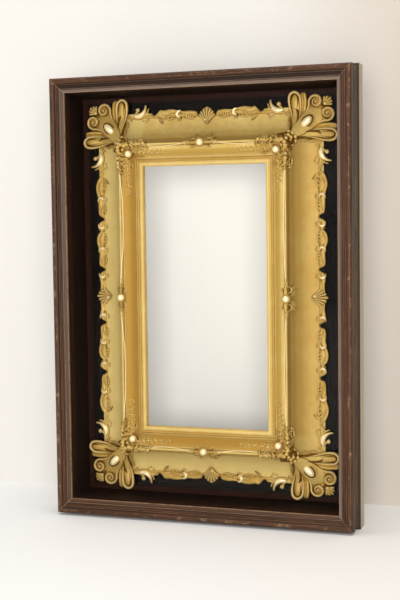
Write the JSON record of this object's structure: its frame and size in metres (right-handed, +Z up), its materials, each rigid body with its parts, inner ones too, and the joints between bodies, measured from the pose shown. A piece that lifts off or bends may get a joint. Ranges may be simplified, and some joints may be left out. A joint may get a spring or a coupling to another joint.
{
  "type": "shadow box",
  "caption": "Deep glazed shadow box: a dark walnut case with moulded front rails around a gilt ornamented picture frame set back inside it, open at the middle.",
  "frame": {"origin": "middle of the width and depth, on the surface that the case stands on", "axes": "+Z up, +X to the right seen from the front, the glazed front faces -Y"},
  "size_m": [0.58, 0.094, 0.828],
  "materials": {
    "walnut_front": "french polished walnut, worn on the edges",
    "walnut_rear": "walnut, worn polish",
    "walnut_case": "dark walnut, satin",
    "dark_liner": "near black mahogany, glossy",
    "dark_fillet": "dark stained, satin",
    "dark_panel": "near black mahogany, glossy",
    "clear_glass": "clear picture glass",
    "gilt_matte": "matte oil gilding over composition",
    "gilt_slip": "gilt with a burnished bead",
    "gilt_ornament": "gilt composition ornament",
    "gilt_burnished": "burnished water gilding",
    "steel_screws": "dulled steel",
    "brass_buttons": "aged brass",
    "brass_hangers": "aged brass",
    "brass_rings": "aged brass"
  },
  "bodies": {
    "case": {"back_panel": "dark_panel", "case_side_bottom": "walnut_case", "case_side_left": "walnut_case", "case_side_right": "walnut_case", "case_side_top": "walnut_case", "corner_bosses": "gilt_burnished", "corner_cabochons": "gilt_burnished", "corner_ornament_bl": "gilt_ornament", "corner_ornament_br": "gilt_ornament", "corner_ornament_tl": "gilt_ornament", "corner_ornament_tr": "gilt_ornament", "flower_spray_bl": "gilt_ornament", "flower_spray_br": "gilt_ornament", "flower_spray_tl": "gilt_ornament", "flower_spray_tr": "gilt_ornament", "front_rail_bottom": "walnut_front", "front_rail_left": "walnut_front", "front_rail_right": "walnut_front", "front_rail_top": "walnut_front", "gilt_frame_screws": "steel_screws", "gilt_rail_bottom": "gilt_matte", "gilt_rail_left": "gilt_matte", "gilt_rail_right": "gilt_matte", "gilt_rail_top": "gilt_matte", "glass_pane": "clear_glass", "glazing_fillet_bottom": "dark_fillet", "glazing_fillet_left": "dark_fillet", "glazing_fillet_right": "dark_fillet", "glazing_fillet_top": "dark_fillet", "hanger_plate_left": "brass_hangers", "hanger_plate_right": "brass_hangers", "hanger_screws": "steel_screws", "lace_border_bottom": "gilt_ornament", "lace_border_left": "gilt_ornament", "lace_border_right": "gilt_ornament", "lace_border_top": "gilt_ornament", "liner_bottom": "dark_liner", "liner_left": "dark_liner", "liner_right": "dark_liner", "liner_top": "dark_liner", "mid_bosses": "gilt_burnished", "mid_shells": "gilt_ornament", "rear_rail_bottom": "walnut_rear", "rear_rail_left": "walnut_rear", "rear_rail_right": "walnut_rear", "rear_rail_top": "walnut_rear", "sight_slip_bottom": "gilt_slip", "sight_slip_left": "gilt_slip", "sight_slip_right": "gilt_slip", "sight_slip_top": "gilt_slip", "turn_button_screws": "steel_screws"},
    "hanger_ring_left": {"hanger_ring_left": "brass_rings"},
    "hanger_ring_right": {"hanger_ring_right": "brass_rings"},
    "turn_button_bottom": {"turn_button_bottom": "brass_buttons"},
    "turn_button_left": {"turn_button_left": "brass_buttons"},
    "turn_button_right": {"turn_button_right": "brass_buttons"},
    "turn_button_top": {"turn_button_top": "brass_buttons"}
  },
  "joints": [
    {"name": "turn_button_top_pivot", "type": "hinge", "parent": "case", "child": "turn_button_top", "pos_m": [0, 0.04215, 0.6825], "axis": [0, 1, 0], "continuous": true},
    {"name": "turn_button_right_pivot", "type": "hinge", "parent": "case", "child": "turn_button_right", "pos_m": [0.143, 0.04215, 0.414], "axis": [0, 1, 0], "continuous": true},
    {"name": "turn_button_bottom_pivot", "type": "hinge", "parent": "case", "child": "turn_button_bottom", "pos_m": [0, 0.04215, 0.1455], "axis": [0, 1, 0], "continuous": true},
    {"name": "turn_button_left_pivot", "type": "hinge", "parent": "case", "child": "turn_button_left", "pos_m": [-0.143, 0.04215, 0.414], "axis": [0, 1, 0], "continuous": true},
    {"name": "hanger_ring_left_swing", "type": "hinge", "parent": "case", "child": "hanger_ring_left", "pos_m": [-0.274, 0.04445, 0.678], "axis": [1, 0, 0], "range_deg": [0, 180]},
    {"name": "hanger_ring_right_swing", "type": "hinge", "parent": "case", "child": "hanger_ring_right", "pos_m": [0.274, 0.04445, 0.678], "axis": [1, 0, 0], "range_deg": [0, 180]}
  ]
}
